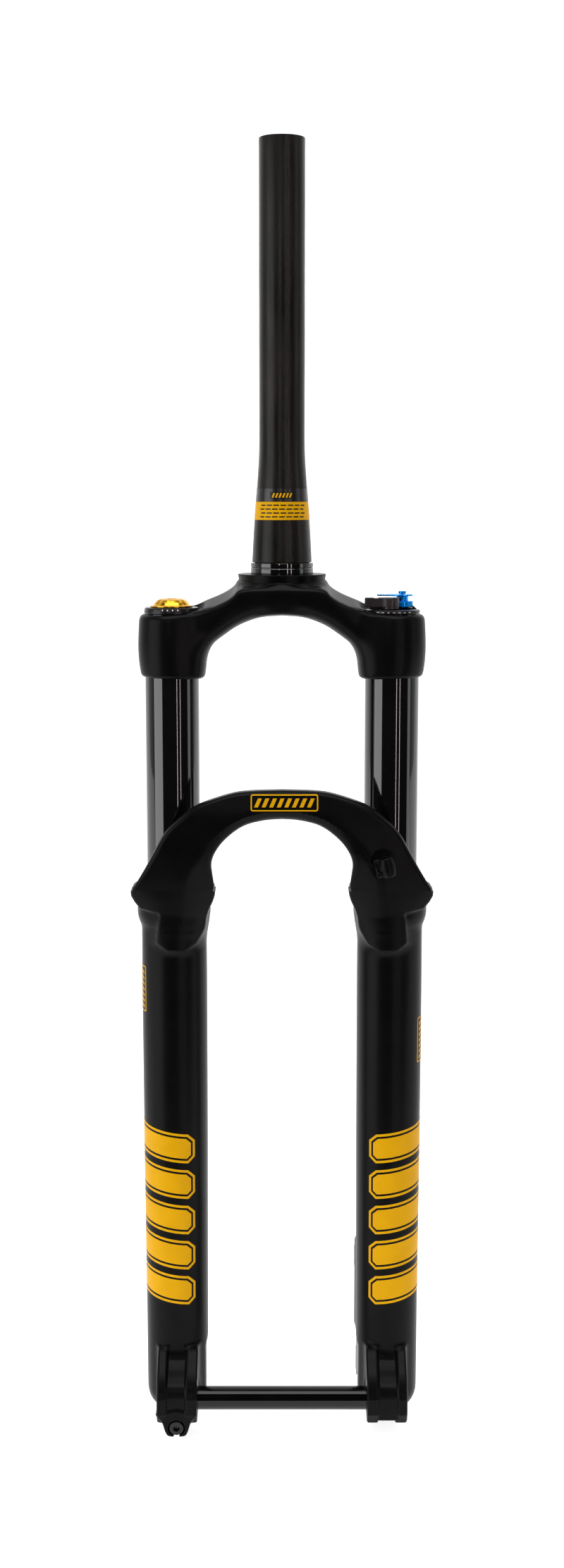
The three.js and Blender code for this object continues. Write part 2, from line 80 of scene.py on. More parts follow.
damper_low, damper_high = span("stanchion_damper")
steerer_top = span("steerer_tube")[1][2]
LEG_X = (damper_low[0] + damper_high[0]) / 2
LEG_Y = (damper_low[1] + damper_high[1]) / 2
STANCHION_R = (damper_high[0] - damper_low[0]) / 2
SOCKET_TOP = damper_high[2]
SOCKET_END = -65.0
COLLAR_TOP = -198.0
LEG_END = -554.6
LEG_FLOOR = -540.0
LEG_BORE = 18.9
SOCKET_ROOM = 23.2
SEAL_STEPS = ((20.8, -217.0), (22.7, -209.0), (SOCKET_ROOM, COLLAR_TOP))  # (radius, lower end)
ARCH_BACK = -36.5
AXLE_Y, AXLE_Z = -44.0, -535.0
AXLE_R = 7.5
HUB_HALF = 55.0
HUB_FLAT = 50.6  # from the middle to the flat on a leg's inner side
HUB_WALL = 1.3   # the leg's wall behind that flat
HUB_SEAT_R = 15.5
LUG_OUT = 81.5
PINCH_X, PINCH_Z = 68.6, -550.5
PINCH_BOTTOM = -556.5
PINCH_FACE, PINCH_SEAT, PINCH_BACK = -56.0, -51.5, -33.0
POST_X, POST_FACE = 55.5, 22.0
POST_HEIGHTS = (-463.0, -537.2)
GUIDE = (64.0, -49.6, -180.0)
GUIDE_TILT = -0.26
GUIDE_SCREW_X, GUIDE_SCREW_Z = -4.5, -3.6
LEVER_HUB = (LEG_X - 1.7, LEG_Y - 6.5)
KNOB_HUB = (LEG_X + 6.3, LEG_Y + 3.3)
RACE_SEAT_R = 19.9
SPIGOT_R = 17.0
FLANGE_R = 28.05
CAP_R = 17.3
STEM_R = 2.35

# ------------------------------------------------------------------ curves and distance fields


def curve(points, steps):
    """A Catmull-Rom curve through the points."""
    p = np.array(points, float)
    p = np.vstack([2 * p[0] - p[1], p, 2 * p[-1] - p[-2]])
    out = []
    for i in range(1, len(p) - 2):
        t = np.linspace(0, 1, steps, endpoint=False)[:, None]
        a, b, c, d = p[i - 1], p[i], p[i + 1], p[i + 2]
        out.append(0.5 * (2 * b + (c - a) * t + (2 * a - 5 * b + 4 * c - d) * t**2
                          + (3 * b - a - 3 * c + d) * t**3))
    return [tuple(q) for q in np.vstack(out + [p[-2:-1]])]


def mirrored(half):
    return half + [(-u, v) for u, v in reversed(half[1:-1])]


def table(points, steps=12):
    """A smooth function of z through (z, value) points given from low to high."""
    z, value = np.array(curve(points, steps)).T
    return lambda at: np.interp(at, z, value)


def join(a, b, blend=0.0):
    blend = np.maximum(blend, 1e-9)
    h = np.maximum(blend - np.abs(a - b), 0) / blend
    return np.minimum(a, b) - h * h * blend / 4


def meet(a, b, blend=0.0):
    return -join(-a, -b, blend)


def cut(a, b, blend=0.0):
    return -join(-a, b, blend)


def outline(u, v, corners):
    """Signed distance to a closed outline, negative inside."""
    d = np.full(u.shape, 1e12)
    sign = np.ones(u.shape)
    before = corners[-1]
    for here in corners:
        ex, ey = before[0] - here[0], before[1] - here[1]
        wx, wy = u - here[0], v - here[1]
        t = np.clip((wx * ex + wy * ey) / (ex * ex + ey * ey), 0, 1)
        d = np.minimum(d, (wx - ex * t) ** 2 + (wy - ey * t) ** 2)
        above, below, left = v >= here[1], v < before[1], ex * wy > ey * wx
        flip = (above & below & left) | ~(above | below | left)
        sign = np.where(flip, -sign, sign)
        before = here
    return sign * np.sqrt(d)


def slab(w, low, high):
    return np.abs(w - (low + high) / 2) - (high - low) / 2


def extrusion(flat, along, rounding):
    """A flat outline's distance and a slab's, made one solid with rounded edges."""
    a, b = flat + rounding, along + rounding
    outside = np.hypot(np.maximum(a, 0), np.maximum(b, 0))
    return outside + np.minimum(np.maximum(a, b), 0) - rounding


def round_box(x, y, z, half, rounding):
    q = [np.abs(p) - h + rounding for p, h in zip((x, y, z), half)]
    outside = np.sqrt(sum(np.maximum(p, 0) ** 2 for p in q))
    return outside + np.minimum(np.maximum(np.maximum(q[0], q[1]), q[2]), 0) - rounding


def tilted(x, y, z, centre, angle):
    """The coordinates seen from a frame at centre, turned about Y."""
    x, y, z = x - centre[0], y - centre[1], z - centre[2]
    c, s = math.cos(angle), math.sin(angle)
    return x * c - z * s, y, x * s + z * c


def hexagon(u, v, turn=0.0):
    """Half the width across flats of the hexagon, around the origin, that a point lies on."""
    return np.maximum.reduce([np.abs(u * math.cos(a) + v * math.sin(a))
                              for a in turn + np.arange(3) * math.pi / 3])


# ------------------------------------------------------------------ distance field to mesh

BLOCK = 8  # voxels along the side of a block
BAND = 3   # voxels on each side of the surface that hold a true distance


def gradient(field, p, step=0.06):
    g = []
    for axis in range(3):
        e = np.zeros(3)
        e[axis] = step
        g.append(field(*(p + e).T) - field(*(p - e).T))
    return np.stack(g, 1) / (2 * step)


def field_values(field, low, voxel, counts):
    """The field on a grid, worked out only in the blocks that the surface may cross."""
    limit = voxel * BAND
    values = np.full(counts * BLOCK, limit, np.float32)
    blocks = np.stack(np.meshgrid(*(np.arange(n) for n in counts), indexing="ij"), -1).reshape(-1, 3)
    middle = low + (blocks * BLOCK + (BLOCK - 1) / 2) * voxel
    at_middle = field(*middle.T)
    reach = voxel * BLOCK * 1.25
    inner = np.stack(np.meshgrid(*[np.arange(BLOCK)] * 3, indexing="ij"), -1).reshape(-1, 3)
    for start in range(0, len(blocks), 2000):
        part = slice(start, start + 2000)
        for i, j, k in blocks[part][at_middle[part] <= -reach] * BLOCK:
            values[i:i + BLOCK, j:j + BLOCK, k:k + BLOCK] = -limit
        near = blocks[part][np.abs(at_middle[part]) < reach]
        if len(near):
            index = (near[:, None] * BLOCK + inner).reshape(-1, 3)
            values[tuple(index.T)] = np.clip(field(*(low + index * voxel).T), -limit, limit)
    return values


def field_mesh(name, field, low, high, voxel):
    """A mesh of the surface where the field is zero, with normals from the field."""
    low = np.array(low, float) - 2 * voxel
    counts = np.ceil((np.array(high) + 2 * voxel - low) / (voxel * BLOCK)).astype(int)
    grid = vdb.FloatGrid(voxel * BAND)
    grid.copyFromArray(field_values(field, low, voxel, counts))
    points, triangles, quads = grid.convertToPolygons(isovalue=0.0)
    p = points.astype(float) * voxel + low
    for _ in range(3):
        g = gradient(field, p)
        length = np.maximum((g * g).sum(1), 0.25)
        move = np.clip(field(*p.T) / length, -voxel / 2, voxel / 2)
        p = p - g * move[:, None]
    mesh = bpy.data.meshes.new(name)
    faces = [tuple(int(i) for i in f[::-1]) for f in quads]
    faces += [tuple(int(i) for i in f[::-1]) for f in triangles]
    mesh.from_pydata((p * MM).tolist(), [], faces)
    mesh.update()
    centre = np.array([q.center for q in mesh.polygons[:400]]) / MM
    normal = np.array([q.normal for q in mesh.polygons[:400]])
    if (gradient(field, centre) * normal).sum() < 0:
        mesh.flip_normals()
    g = gradient(field, p)
    g /= np.maximum(np.linalg.norm(g, axis=1), 1e-9)[:, None]
    mesh.polygons.foreach_set("use_smooth", [True] * len(mesh.polygons))
    mesh.normals_split_custom_set_from_vertices(g.tolist())
    return mesh


# ------------------------------------------------------------------ the crown's shape

socket_radius = table([(-66, 18.2), (-62, 19.6), (-55, 20.7), (-46, 21.2), (-36, 20.95),
                       (-24, 20.2)])
shelf_ridge = table([(-1, -2.5), (20, -3.0), (27, -4.6), (31, -8.4), (35, -11.2), (41, -14.1),
                     (49, -17.3), (58, -21.6), (72, -24.6), (100, -25.0)])
ARM_UNDER = curve([(50.9, -68), (50.6, -58), (49.4, -51), (44.6, -44.3), (36, -37.4), (26, -31.0),
                   (13, -26.4), (0, -25)], 5)
ARM_OUTLINE = mirrored([(0, 4)] + [(LEG_X, 4), (LEG_X, -68)] + ARM_UNDER)
arm_front = table([(0, -31.2), (25, -31.6), (38, -31.4), (48, -30.2), (57, -28.6), (LEG_X, -27),
                   (100, -27)])
arm_back = table([(0, 26.3), (18, 24.2), (32, 18.0), (50, 9.6), (LEG_X, 7.4), (100, 7.4)])


def crown_field(x, y, z):
    ax = np.abs(x)
    around_leg = np.hypot(ax - LEG_X, y - LEG_Y)
    around_steerer = np.hypot(x, y)
    socket = (around_leg - socket_radius(z)) * 0.98
    socket = meet(meet(socket, z - SOCKET_TOP, 4.5), SOCKET_END - z, 3.5)
    arm = outline(x, z, ARM_OUTLINE)
    walls = meet(arm_front(ax) - y, (y - arm_back(ax)) * 0.85, 2)
    arm = meet(arm, walls, 15)
    # The shelf leans forward from its ridge to a double crease along its front edge.
    lean = 0.21 * np.maximum(-2 - y, 0)
    shelf = (z - shelf_ridge(ax) + lean) * 0.88
    crease_y = arm_front(ax) + 2.6
    groove = 0.9 * np.exp(-((y - crease_y - 3.0) / 1.1) ** 2)
    lip = 0.9 * np.exp(-((y - crease_y) / 1.6) ** 2)
    arm = meet(arm, shelf + groove - lip, 1.3)
    spot = meet(around_leg - 21.6, -22.6 - z)
    arm = cut(arm, spot, 0.8)
    arm = meet(arm, ax - LEG_X)
    body = meet(join(arm, socket, 8), SOCKET_END - z, 2.5)
    body = cut(body, meet(around_leg - 18.6, SOCKET_TOP + 0.05 - z))
    nose = meet(around_steerer - 27.0, slab(z, -23, -4.7), 2.5)
    body = join(body, nose, 5)
    cone = (around_steerer - np.interp(z, [-4.7, 0], [27.1, FLANGE_R])) * 0.97
    flange = meet(cone, slab(z, -6.5, 0), 0.35)
    body = join(body, flange, 0.5)
    body = cut(body, around_leg - STANCHION_R - 0.12)
    return cut(body, around_steerer - SPIGOT_R - 0.2)


# ------------------------------------------------------------------ the lower casting's shape

leg_radius = table([(-560, 19.9), (-536, 20.2), (-483, 20.3), (-410, 20.6), (-360, 20.85), (-266, 21.0),
                    (-232, 20.9), (-225, 21.1), (-220.5, 22.6), (-216.5, 23.45), (-210.5, 23.6),
                    (-206.5, 24.9), (-202, 26.0), (-198.5, 26.3), (-196, 26.3)])
ARCH_OUT = curve([(0, -132.4), (20, -133.0), (33, -135.0), (51.6, -141.4), (62, -148.5), (73, -159.2),
                  (80.6, -172.4), (85.2, -181.0), (90.2, -189.6), (95.7, -198.0)], 4)
ARCH_FOOT = [(95.6, -201.5), (93.6, -205.5), (90.0, -210.2), (82.0, -211.8), (78.6, -212.4), (77.5, -214),
             (77.2, -231.0), (72, -234.5), (63, -235), (56, -231), (51.5, -226)]
ARCH_IN = curve([(49.5, -223), (46.6, -212), (43.6, -205), (42.2, -198), (43.8, -186), (44.2, -179),
                 (41.6, -171.5), (35, -163.2), (24, -155.3), (11, -151.9), (0, -151)], 4)
ARCH_OUTLINE = mirrored(ARCH_OUT + ARCH_FOOT + ARCH_IN)
ARCH_CREASE = curve([(0, -145.2), (14, -146.2), (28, -151), (40, -159.5), (51, -171.5), (59, -183.5),
                     (62.6, -196), (63.4, -215), (62.4, -240), (60, -275)], 4)
INSIDE_CREASE = [(-60, -145.2)] + ARCH_CREASE + [(60, -420), (-60, -420)]
arch_ridge = table([(-300, -33.0), (-262, -33.4), (-236, -34.1), (-225, -36.3), (-212, -39.6),
                    (-198, -43.4), (-186, -46.4), (-172, -48.4), (-150, -48.8), (-138, -47.6),
                    (-126, -45.5)])
LUG_SIDE = ([(-18, -505)] + curve([(-24.5, -504.5), (-33.0, -505.4), (-38.6, -509.0), (-43.2, -513.0),
                                   (-48.2, -517.2), (-52.8, -522.5), (-54.8, -527.0)], 4)
            + [(-56.6, -530.2), (-56.9, -541), (-53, -548), (-24, -548), (-18, -552)])
LUG_FLOOR = curve([(-25, -484), (-29.5, -503), (-34.4, -511.5), (-40.4, -516.5), (-47.0, -520.5),
                   (-53.0, -525.0), (-55.0, -531.0), (-55.2, -543.2)], 4)
PINCH_OUT = curve([(13.5, -541), (9.6, -546.4), (7.6, -552.6), (5.8, -555.8), (2.8, PINCH_BOTTOM)], 4)
PINCH_OUTLINE = mirrored([(0, -538)] + PINCH_OUT + [(0, PINCH_BOTTOM)])
POST_SIDE = ([(-8, -440)] + curve([(0, -446), (8, -452), (14, -455), (POST_FACE, -455.4)], 4)
             + [(POST_FACE, -470.6)] + curve([(15, -471.5), (11.5, -484), (9.8, -500), (11.5, -516),
                                             (15, -528.6)], 4)
             + [(POST_FACE, -529.6), (POST_FACE, -544.8)] + curve([(12, -546), (2, -541), (-8, -530)], 4))


def arch_field(x, y, z):
    ax = np.abs(x)
    flat = outline(ax, z, ARCH_OUTLINE)
    crease = outline(ax, z, INSIDE_CREASE)
    upper = np.clip((z + 215) / 40, 0, 1)
    outward = np.maximum(crease, 0) * (0.09 + 0.08 * (1 - np.clip((z + 178) / 30, 0, 1)))
    bevel = np.maximum(-crease, 0) * (0.30 + 0.55 * np.clip((z + 172) / 22, 0, 1))
    groove = 0.45 * np.exp(-((crease - 0.3) / 1.7) ** 2)
    front = (arch_ridge(z) + outward + bevel + groove - y) * 0.9
    # Lower down the front turns into a sleeve around the leg.
    sleeve = np.hypot(ax - LEG_X, y - LEG_Y) - (LEG_Y - arch_ridge(z))
    share = np.clip((z + 233) / 36, 0, 1)
    front = share * front + (1 - share) * sleeve
    back = y - np.where(z > COLLAR_TOP, ARCH_BACK - 0.2, -20)
    rounding = 1.2 + 2.2 * upper
    return meet(meet(flat, front, rounding), back, 1.5)


def lug_field(x, y, z):
    side = extrusion(outline(y, z, LUG_SIDE), slab(x, HUB_HALF, LUG_OUT), 1.6)
    edge = outline(y, z, LUG_FLOOR + [(-70, -543.2), (-70, -484)])
    hollow = extrusion(edge, slab(x, 63.2, 74.8), 0.4)
    return cut(side, hollow, 2.2)


def add_arch(body, x, y, z):
    """Joins the arch to the legs, and cuts the hose guide's pocket into it."""
    blend = 2.5 + 7 * np.clip((-214 - z) / 12, 0, 1)
    body = join(body, arch_field(x, y, z), blend)
    gx, gy, gz = tilted(x, y, z, GUIDE, GUIDE_TILT)
    pocket = np.sqrt((gx / 8.0) ** 2 + ((gz - 0.4) / 9.6) ** 2) - 1
    pocket = meet(pocket * 7.5, slab(gy, -9, 2.9), 1.5)
    return cut(body, pocket, 1.6)


def add_air_lug(body, x, y, z):
    """Joins the air leg's lug, with the split boss that the pinch bolt closes."""
    body = join(body, lug_field(x, y, z), 3.0)
    boss = extrusion(outline(x - PINCH_X, z, PINCH_OUTLINE), slab(y, PINCH_FACE, PINCH_BACK), 1.2)
    body = join(body, boss, 1.5)
    around_bolt = np.hypot(x - PINCH_X, z - PINCH_Z)
    body = cut(body, meet(around_bolt - 5.5, y - PINCH_SEAT), 0.4)
    split = meet(slab(x - PINCH_X, -1.7, 1.7), meet(y - PINCH_SEAT, z - PINCH_Z))
    body = cut(body, split, 0.6)
    body = cut(body, meet(around_bolt - 2.7, slab(y, -60, -33.8)))
    return cut(body, meet(slab(y, AXLE_Y - 0.8, AXLE_Y + 0.8), z - AXLE_Z), 0.3)


def add_damper_lug(body, x, y, z):
    notch = meet(slab(x, 62.6, 73.4), z + 546.4)
    return join(body, cut(lug_field(x, y, z), notch, 1.2), 3.0)


def add_posts(body, x, y, z):
    """Joins the web that carries the two brake posts, and drills their holes."""
    web = extrusion(outline(y, z, POST_SIDE), slab(x, POST_X - 6.4, POST_X + 6.4), 1.6)
    body = join(body, web, 5)
    for height in POST_HEIGHTS:
        hole = np.hypot(x - POST_X, z - height) - 2.7
        body = cut(body, meet(hole, POST_FACE - 12 - y), 0.5)
    return body


def clear_hub(body, x, y, z):
    """Cuts the flats beside the hub, the seats for its ends and the axle's bore."""
    flat_top = (z + 504 - 0.8 * (y - LEG_Y)) * 0.75
    body = cut(body, meet(x - HUB_FLAT, flat_top, 0.5), 0.6)
    around_axle = np.hypot(y - AXLE_Y, z - AXLE_Z)
    body = cut(body, meet(around_axle - HUB_SEAT_R, x - HUB_HALF), 0.6)
    return cut(body, around_axle - AXLE_R - 0.15, 0.6)


def leg_hollow(around_leg, x, z):
    """A leg's bore, with a flat beside the hub and its wider steps for the seal parts."""
    hollow = meet(around_leg - LEG_BORE, LEG_FLOOR - z)
    hollow = cut(hollow, meet(x - HUB_FLAT - HUB_WALL, z + 488))
    for radius, bottom in SEAL_STEPS:
        hollow = join(hollow, meet(around_leg - radius, bottom - z))
    return hollow


def casting_field(x, y, z):
    x, y, z = np.broadcast_arrays(x, y, z)
    ax = np.abs(x)
    around_leg = np.hypot(ax - LEG_X, y - LEG_Y)
    body = meet((around_leg - leg_radius(z)) * 0.96, z - COLLAR_TOP, 1.2)
    body = meet(body, LEG_END - z, 16)
    # Each change is worked out only where it can reach.
    for change, reach, across in ((add_arch, z > -290, x),
                                  (add_air_lug, (z < -470) & (x <= 0), ax),
                                  (add_damper_lug, (z < -470) & (x > 0), ax),
                                  (add_posts, (z < -425) & (x > 0), x),
                                  (clear_hub, z < -460, ax)):
        if reach.any():
            body[reach] = change(body[reach], across[reach], y[reach], z[reach])
    body = cut(body, leg_hollow(around_leg, ax, z), 0.3)
    return cut(body, meet(around_leg - 4.2, slab(z, -580, LEG_FLOOR + 2)))


# ------------------------------------------------------------------ the small pieces' shapes


def damper_cap_field(x, y, z):
    """The damper's top cap, with a flat floor for the lever and a pocket for the knob."""
    x, y = x - LEG_X, y - LEG_Y
    r = np.hypot(x, y)
    flange = meet(r - CAP_R, slab(z, -24.0, -21.8), 0.5)
    cone = meet((r - 15.8 + (z + 21.8) * 1.12) * 0.7, slab(z, -22.5, -19.3), 0.5)
    cone = cut(cone, meet(y + 0.6, -21.5 - z), 0.4)
    around_lever, around_knob = (np.hypot(x - hub[0] + LEG_X, y - hub[1] + LEG_Y)
                                 for hub in (LEVER_HUB, KNOB_HUB))
    cone = cut(cone, meet(around_knob - 7.15, -20.7 - z), 0.3)
    body = join(join(flange, cone), meet(r - 14.8, slab(z, -44, -22)))
    for around_stem in (around_lever, around_knob):
        body = cut(body, meet(around_stem - STEM_R - 0.3, -29 - z), 0.2)
    return body


def lever_field(x, y, z):
    x, y = x - LEVER_HUB[0], y - LEVER_HUB[1]
    r = np.hypot(x, y)
    half_width = 4.1 + 0.05 * x
    arm = meet(np.abs(y - 0.1) - half_width, slab(x, -16.0, 0), 1.2)
    body = meet(join(r - 5.5, arm, 2), slab(z, -20.15, -13.95), 0.8)
    body = join(body, meet(r - 5.5, slab(z, -21.2, -18), 0.3))
    grip = np.hypot((x + 9) / 1.7, z + 13.2) - 1.1
    body = cut(body, grip, 0.6)
    return join(body, meet(r - STEM_R, slab(z, -28, -18)))


def knob_field(x, y, z):
    x, y = x - KNOB_HUB[0], y - KNOB_HUB[1]
    r, turn = np.hypot(x, y), np.arctan2(y, x)
    teeth = 6.75 - 0.22 * np.maximum(np.cos(turn * 28), 0)
    rim = meet((r - teeth) * 0.7, slab(z, -20.35, -16.65), 0.5)
    neck = meet(r - 3.75, slab(z, -18, -13.85), 0.3)
    return cut(join(rim, neck, 0.8), r - STEM_R - 0.3)


def plate_field(x, y, z):
    x, y = x - KNOB_HUB[0], y - KNOB_HUB[1]
    r = np.hypot(x, y)
    arm = np.abs(y) - 3.4 - 0.11 * x
    arm = meet(arm, slab(x, -16.0, 1), 1.5)
    flat = join(r - 6.75, arm, 4)
    plate = meet(flat, slab(z, -13.5, -12.42), 0.35)
    # Grip grooves run across the top of the arm.
    grooves = meet(slab(x, -15.0, -9), np.abs(np.mod(x, 1.7) - 0.85) - 0.25, 0.1)
    plate = cut(plate, grooves + (z < -12.8) * 9)
    body = join(plate, meet(r - STEM_R, slab(z, -28, -12.42)))
    return cut(body, meet(r - 1.5, -20 - z))


def screw_field(x, y, z):
    x, y = x - KNOB_HUB[0], y - KNOB_HUB[1]
    r = np.hypot(x, y)
    head = meet(r - 2.45, slab(z, -12.1, -10.42), 0.4)
    head = cut(head, meet(hexagon(x, y) - 1.05, -11.6 - z))
    return join(head, meet(r - 1.15, slab(z, -19, -11.6)))


def gold_field(x, y, z):
    x, y = x + LEG_X, y - LEG_Y
    r, turn = np.hypot(x, y), np.arctan2(y, x)
    flange = meet(r - 13.45, slab(z, -20.1, -19.15), 0.35)
    side = np.interp(z, [-20, -18.9, -17.2, -15.7, -14.8], [11.9, 11.6, 10.5, 8.9, 6.6])
    flute = 0.42 * np.maximum(np.cos(turn * 8), 0) ** 0.7 * np.clip((z + 19.1) / 1.5, 0, 1)
    dome = meet((r - side + flute) * 0.6, slab(z, -20, -14.85), 0.7)
    dome = cut(dome, meet(r - 3.2, -15.25 - z), 0.3)
    return cut(join(flange, dome, 0.5), meet(r - 4, z + 17.1))


def bolt_field(x, y, z):
    x, z = x + PINCH_X, z - PINCH_Z
    r = np.hypot(x, z)
    head = meet(r - 4.6, slab(y, PINCH_FACE, PINCH_SEAT - 0.3), 0.7)
    head = cut(head, meet(hexagon(x, z, 0.2) - 2.0, y + 53.4), 0.2)
    return join(head, meet(r - 2.45, slab(y, -53, -35.5), 0.4))


def axle_field(x, y, z):
    y, z = y - AXLE_Y, z - AXLE_Z
    r = np.hypot(y, z)
    tube = meet(r - AXLE_R, slab(x, -80.5, 80.5), 1.0)
    tube = cut(tube, r - 4.6, 0.3)
    return cut(tube, meet(hexagon(y, z) - 5.0, x + 72), 0.2)


def guide_field(x, y, z):
    x, y, z = tilted(x, y, z, GUIDE, GUIDE_TILT)
    r = np.hypot(x - 1.9, y + 2)
    tunnel = (np.sqrt(r**2 + (np.abs(z) * 0.5) ** 2) - 4.9) * 0.9
    tunnel = meet(tunnel, slab(z, -6.4, 6.4), 1.0)
    foot = round_box(x + 1.4, y - 0.5, z, (4.7, 1.65, 6.2), 1.6)
    clip = meet(np.hypot(x + 4.3, z - 2.5) - 1.9, slab(y, -3.4, 0), 0.6)
    body = join(join(tunnel, foot, 1.2), clip, 0.5)
    body = cut(body, r - 2.75, 0.4)
    return cut(body, np.hypot(x - GUIDE_SCREW_X, z - GUIDE_SCREW_Z) - 1.25, 0.2)


def guide_screw_field(x, y, z):
    x, y, z = tilted(x, y, z, GUIDE, GUIDE_TILT)
    x, z = x - GUIDE_SCREW_X, z - GUIDE_SCREW_Z
    r = np.hypot(x, z)
    head = meet(r - 1.65, slab(y, -2.85, -1.5), 0.35)
    cross = np.minimum(np.abs(x), np.abs(z)) - 0.28
    head = cut(head, meet(meet(cross, r - 1.2), y + 2.2))
    return join(head, meet(r - 1.0, slab(y, -1.8, 1.6)))


def foot_nut_field(x, y, z):
    x, y = x + LEG_X, y - LEG_Y
    r = np.hypot(x, y)
    nut = meet(meet(hexagon(x, y) - 6.4, r - 7.35, 0.3), slab(z, -559.4, -554.95), 0.4)
    return cut(nut, r - 4.25, 0.3)


def rebound_field(x, y, z):
    x, y = x - LEG_X, y - LEG_Y
    r, turn = np.hypot(x, y), np.arctan2(y, x)
    teeth = 7.95 - 0.3 * np.maximum(np.cos(turn * 24), 0)
    knob = meet((r - teeth) * 0.7, slab(z, -562.35, -558.25), 0.8)
    dish = meet(r - 5.2, z + 561.7)
    return join(cut(knob, dish, 0.5), meet(r - 1.35, slab(z, -560, -500)))


# ------------------------------------------------------------------ meshes of other kinds


def turned_mesh(name, profile, centre, turns=128):
    """A closed (radius, z) profile turned about a vertical axis."""
    rows = []
    for i in range(turns):
        a = 2 * math.pi * i / turns
        rows.append([(centre[0] + r * math.cos(a), centre[1] + r * math.sin(a), z)
                     for r, z in profile])
    points = (np.array(rows).reshape(-1, 3) * MM).tolist()
    n = len(profile)
    faces = []
    for i in range(turns):
        for j in range(n):
            a, b = i * n + j, i * n + (j + 1) % n
            c, d = ((i + 1) % turns) * n + (j + 1) % n, ((i + 1) % turns) * n + j
            faces.append((a, d, c, b))
    mesh = bpy.data.meshes.new(name)
    mesh.from_pydata(points, [], faces)
    bm = bmesh.new()
    bm.from_mesh(mesh)
    bmesh.ops.recalc_face_normals(bm, faces=bm.faces)
    bm.to_mesh(mesh)
    bm.free()
    mesh.polygons.foreach_set("use_smooth", [True] * len(mesh.polygons))
    mesh.set_sharp_from_angle(angle=math.radians(28))
    return mesh


def softened(profile, size):
    """The profile with each hard corner replaced by a small round."""
    out = []
    n = len(profile)
    for i, here in enumerate(profile):
        h = np.array(here, float)
        a, b = np.array(profile[i - 1]) - h, np.array(profile[(i + 1) % n]) - h
        la, lb = np.linalg.norm(a), np.linalg.norm(b)
        bend = math.acos(max(-1, min(1, float(-(a @ b) / (la * lb)))))
        if bend < 0.5:
            out.append(tuple(h))
            continue
        k = min(size, la / 2.5, lb / 2.5)
        p, q = h + a / la * k, h + b / lb * k
        for t in (0, 0.33, 0.67, 1):
            out.append(tuple((1 - t) ** 2 * p + 2 * t * (1 - t) * h + t * t * q))
    return out


# ------------------------------------------------------------------ placing pieces

COARSE = 1.0


def place(mesh, body, material, slot, *nodes):
    piece = bpy.data.objects.new(mesh.name, mesh)
    bpy.context.scene.collection.objects.link(piece)
    mesh.materials.append(material)
    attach(piece, body)
    if nodes:
        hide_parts(*nodes)


def upright_box(axis, reach, low_z, high_z, arm=0.0):
    """The corners of a box around an upright axis, with room for an arm towards -X."""
    return ((axis[0] - max(reach, arm), axis[1] - reach, low_z),
            (axis[0] + reach, axis[1] + reach, high_z))


def field_piece(name, field, box, voxel, body, slot, node, look=None):
    mesh = field_mesh(name, field, *box, voxel * COARSE)
    place(mesh, body, FINISH[look or slot], slot, node)


def turned_piece(name, profile, centre, body, slot, node, edge=0.3):
    place(turned_mesh(name, softened(profile, edge), centre), body, FINISH[slot], slot, node)


# ------------------------------------------------------------------ materials


def set_inputs(node, values):
    """Sets inputs by plain keys, such as specular_ior_level for Specular IOR Level."""
    for key, value in values.items():
        label = key.replace("_", " ").title().replace("Ior", "IOR")
        node.inputs[label].default_value = value


def add(tree, kind, **values):
    """A new shader node, with some of its inputs set."""
    new = tree.nodes.new(kind)
    set_inputs(new, values)
    return new


def noise(tree, scale, roughness=0.5):
    """Noise in the object's own space, with a scale for each axis."""
    coordinates = add(tree, "ShaderNodeTexCoord")
    mapping = add(tree, "ShaderNodeMapping", scale=scale)
    texture = add(tree, "ShaderNodeTexNoise", scale=1.0, detail=3.0, roughness=roughness)
    tree.links.new(coordinates.outputs["Object"], mapping.inputs["Vector"])
    tree.links.new(mapping.outputs["Vector"], texture.inputs["Vector"])
    return texture.outputs["Fac"]


def ramp(tree, value, stops):
    """A colour ramp on a value. Stops are (position, grey or colour)."""
    new = add(tree, "ShaderNodeValToRGB")
    elements = new.color_ramp.elements
    while len(elements) < len(stops):
        elements.new(0.5)
    for element, (position, tone) in zip(elements, stops):
        element.position = position
        element.color = (*(tone if isinstance(tone, tuple) else (tone,) * 3), 1)
    tree.links.new(value, new.inputs["Fac"])
    return new.outputs["Color"]


def finish(name, dark, light, shine, grain=(900, 900, 900), patches=(60, 60, 60), bump=0.05,
           depth=0.00004, **constants):
    """A surface whose colour drifts in patches, and whose gloss and relief follow a grain."""
    m = bpy.data.materials.new(name)
    m.use_nodes = True
    tree = m.node_tree
    bsdf = tree.nodes["Principled BSDF"]
    set_inputs(bsdf, constants)
    tint = ramp(tree, noise(tree, patches), [(0.35, dark), (0.65, light)])
    tree.links.new(tint, bsdf.inputs["Base Color"])
    grains = noise(tree, grain, 0.6)
    gloss = ramp(tree, grains, [(0.3, shine[0]), (0.7, shine[1])])
    tree.links.new(gloss, bsdf.inputs["Roughness"])
    relief = add(tree, "ShaderNodeBump", strength=bump, distance=depth)
    tree.links.new(grains, relief.inputs["Height"])
    tree.links.new(relief.outputs["Normal"], bsdf.inputs["Normal"])
    return m


